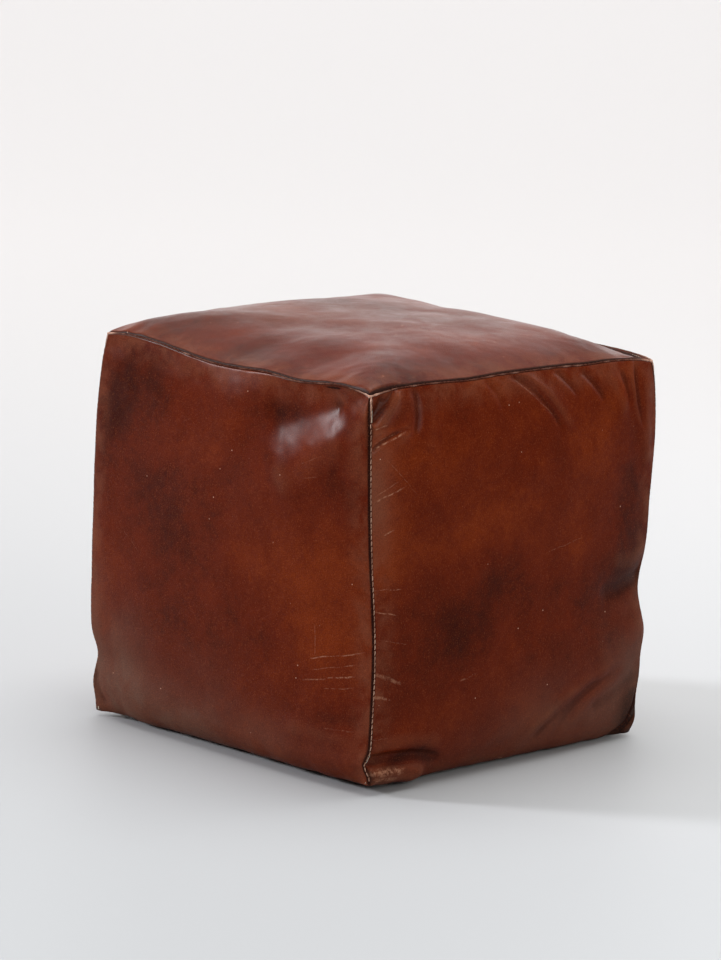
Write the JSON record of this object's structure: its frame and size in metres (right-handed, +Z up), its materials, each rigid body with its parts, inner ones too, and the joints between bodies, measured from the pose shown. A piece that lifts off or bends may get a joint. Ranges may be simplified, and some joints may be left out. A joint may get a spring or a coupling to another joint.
{
  "type": "leather cube pouf",
  "caption": "Low cube-shaped stuffed leather pouf of sewn square panels, with a zip across its base, used as a footstool or floor seat.",
  "frame": {"origin": "middle of the footprint, on the floor the pouf stands on", "axes": "+Z up; -Y is the front panel and +X the right panel, which meet at the upright seam nearest the viewer; the zip in the base runs along X"},
  "size_m": [0.438, 0.438, 0.43],
  "materials": {
    "leather": "satin",
    "thread": "matte",
    "zip_tape": "matte",
    "brass": "satin",
    "lining": "matte",
    "filling": "matte"
  },
  "bodies": {
    "pouf": {"top_panel": "leather", "front_panel": "leather", "right_panel": "leather", "back_panel": "leather", "left_panel": "leather", "base_panel_front": "leather", "base_panel_back": "leather", "top_seam_thread": "thread", "base_seam_thread": "thread", "corner_thread_front_right": "thread", "corner_thread_back_right": "thread", "corner_thread_back_left": "thread", "corner_thread_front_left": "thread", "base_join_thread": "thread", "zip_thread_front": "thread", "zip_thread_back": "thread", "zip_tape_front": "zip_tape", "zip_tape_back": "zip_tape", "zip_teeth_front": "brass", "zip_teeth_back": "brass", "zip_top_stops": "brass", "zip_bottom_stop": "brass", "top_lining": "lining", "front_lining": "lining", "right_lining": "lining", "back_lining": "lining", "left_lining": "lining", "base_lining_front": "lining", "base_lining_back": "lining", "filling": "filling"},
    "zip_slider": {"zip_slider": "brass"},
    "zip_pull": {"zip_pull": "brass"}
  },
  "joints": [
    {"name": "zip_slider_slide", "type": "slide", "parent": "pouf", "child": "zip_slider", "axis": [-1, 0, 0], "range_m": [0, 0.28], "deforming": ["zip_teeth_front", "zip_teeth_back"]},
    {"name": "zip_pull_hinge", "type": "hinge", "parent": "zip_slider", "child": "zip_pull", "pos_m": [0.1396, 0, 0.00565], "axis": [0, -1, 0], "range_deg": [-9, 170]}
  ]
}
